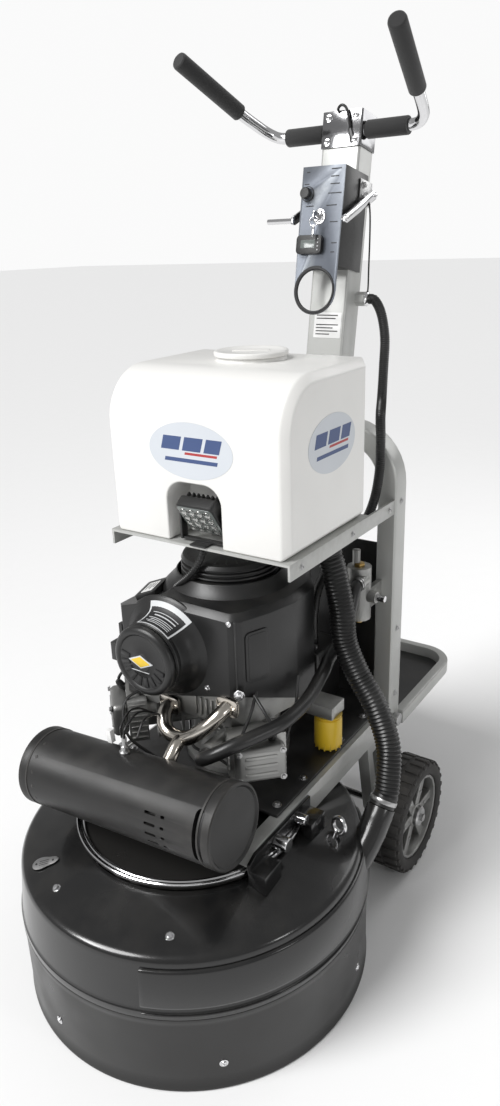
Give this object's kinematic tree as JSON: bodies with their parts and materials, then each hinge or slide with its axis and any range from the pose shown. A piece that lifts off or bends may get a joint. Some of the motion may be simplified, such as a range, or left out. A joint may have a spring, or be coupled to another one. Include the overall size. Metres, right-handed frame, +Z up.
{
  "type": "high speed burnisher",
  "caption": "Engine-driven walk-behind floor burnisher: round skirted deck, two-rail frame with wheels, solution tank and a tall control post with handlebar.",
  "frame": {"origin": "on the floor, at the middle of the machine's bounding box", "axes": "+Z up, -Y towards the front (the pad deck), +X to the machine's right as seen from in front looking towards +Y"},
  "size_m": [0.8, 1.41, 1.9661],
  "materials": {
    "frame_paint": "satin silver-grey enamel",
    "deck_black": "gloss black",
    "skirt_rubber": "semi-gloss black rubber",
    "satin_black": "satin black",
    "muffler_black": "heat-proof satin black",
    "hose_rubber": "matt black rubber",
    "grip_foam": "foam rubber",
    "tyre_rubber": "moulded tyre rubber",
    "bright_chrome": "polished",
    "cast_metal": "as cast",
    "machined_steel": "machined",
    "exhaust_steel": "heat-tinted tube",
    "tank_white": "rotary-moulded white",
    "filter_yellow": "gloss yellow",
    "panel_grey": "blue-grey sheet",
    "pad_fibre": "natural-hair fibre"
  },
  "bodies": {
    "chassis": {"deck_skirt": "skirt_rubber", "deck_cover": "deck_black", "deck_top_plate": "deck_black", "spindle_housing": "cast_metal", "deck_trim_ring": "bright_chrome", "drive_belt": "hose_rubber", "rail_left": "frame_paint", "rail_right": "frame_paint", "deck_cheek_left": "deck_black", "deck_cheek_right": "deck_black", "axle_bracket_left": "frame_paint", "axle_bracket_right": "frame_paint", "rear_hoop": "frame_paint", "axle": "machined_steel", "cradle_bar": "frame_paint", "cylinder_tray": "satin_black", "tank_tray": "frame_paint", "solution_tank": "tank_white", "light_bracket": "satin_black", "engine_plate": "satin_black", "engine_block": "cast_metal", "valve_cover_left": "cast_metal", "valve_cover_right": "cast_metal", "blower_housing": "satin_black", "air_cleaner": "satin_black", "air_cleaner_cover": "satin_black", "exhaust_header": "exhaust_steel", "muffler": "muffler_black", "oil_filter": "filter_yellow", "battery": "satin_black", "gas_regulator": "cast_metal", "vapour_hose": "hose_rubber", "vacuum_hose": "hose_rubber", "conduit": "hose_rubber", "vacuum_port": "deck_black", "post_hinge": "frame_paint"},
    "pad_drive": {"pad_spindle": "machined_steel", "spindle_pulley": "machined_steel", "pad_driver": "satin_black", "burnishing_pad": "pad_fibre"},
    "engine_crank": {"crankshaft": "machined_steel", "fan_screen": "satin_black"},
    "wheel_left": {"wheel_rim_left": "cast_metal", "tyre_left": "tyre_rubber"},
    "wheel_right": {"wheel_rim_right": "cast_metal", "tyre_right": "tyre_rubber"},
    "tank_lid": {"tank_cap": "tank_white"},
    "lamp": {"work_light": "satin_black"},
    "primer": {"primer_button": "bright_chrome"},
    "control_post": {"handle_post": "frame_paint", "bar_clamp": "bright_chrome", "control_box": "satin_black", "face_plate": "panel_grey"},
    "steering_bar": {"handlebar": "bright_chrome", "grip_left": "grip_foam", "grip_right": "grip_foam"},
    "lever": {"throttle_lever": "bright_chrome"},
    "stop": {"stop_button": "satin_black"},
    "key": {"ignition_key": "bright_chrome"}
  },
  "joints": [
    {"name": "pad_spin", "type": "hinge", "parent": "chassis", "child": "pad_drive", "pos_m": [0, -0.305, 0.2], "axis": [0, 0, 1], "continuous": true},
    {"name": "crank_spin", "type": "hinge", "parent": "chassis", "child": "engine_crank", "pos_m": [0, -0.115, 0.5], "axis": [0, 0, 1], "continuous": true},
    {"name": "wheel_left_roll", "type": "hinge", "parent": "chassis", "child": "wheel_left", "pos_m": [-0.31, 0.199, 0.15], "axis": [1, 0, 0], "continuous": true},
    {"name": "wheel_right_roll", "type": "hinge", "parent": "chassis", "child": "wheel_right", "pos_m": [0.31, 0.199, 0.15], "axis": [1, 0, 0], "continuous": true},
    {"name": "tank_cap_lift", "type": "slide", "parent": "chassis", "child": "tank_lid", "axis": [0, 0, 1], "range_m": [0, 0.06]},
    {"name": "lamp_tilt", "type": "hinge", "parent": "chassis", "child": "lamp", "pos_m": [0.012, -0.217, 1.052], "axis": [1, 0, 0], "range_deg": [-15, 20]},
    {"name": "primer_push", "type": "slide", "parent": "chassis", "child": "primer", "axis": [-1, 0, 0], "range_m": [0, 0.004], "stiffness_N_per_m": 400},
    {"name": "post_fold", "type": "hinge", "parent": "chassis", "child": "control_post", "pos_m": [0, 0.332, 1.225], "axis": [-1, 0, 0], "range_deg": [0, 80]},
    {"name": "bar_tilt", "type": "hinge", "parent": "control_post", "child": "steering_bar", "pos_m": [0, 0.42408, 1.80997], "axis": [1, 0, 0], "range_deg": [-30, 30]},
    {"name": "lever_swing", "type": "hinge", "parent": "control_post", "child": "lever", "pos_m": [0, 0.43536, 1.6707], "axis": [1, 0, 0], "range_deg": [-18, 18]},
    {"name": "stop_push", "type": "slide", "parent": "control_post", "child": "stop", "axis": [0, 0.9839, -0.1788], "range_m": [0, 0.004], "stiffness_N_per_m": 400},
    {"name": "key_turn", "type": "hinge", "parent": "control_post", "child": "key", "pos_m": [-0.003, 0.29807, 1.62552], "axis": [0, 0.9839, -0.1788], "range_deg": [0, 60]}
  ],
  "couplings": [
    {"joint": "crank_spin", "follows": "pad_spin", "ratio": 1.9756}
  ]
}
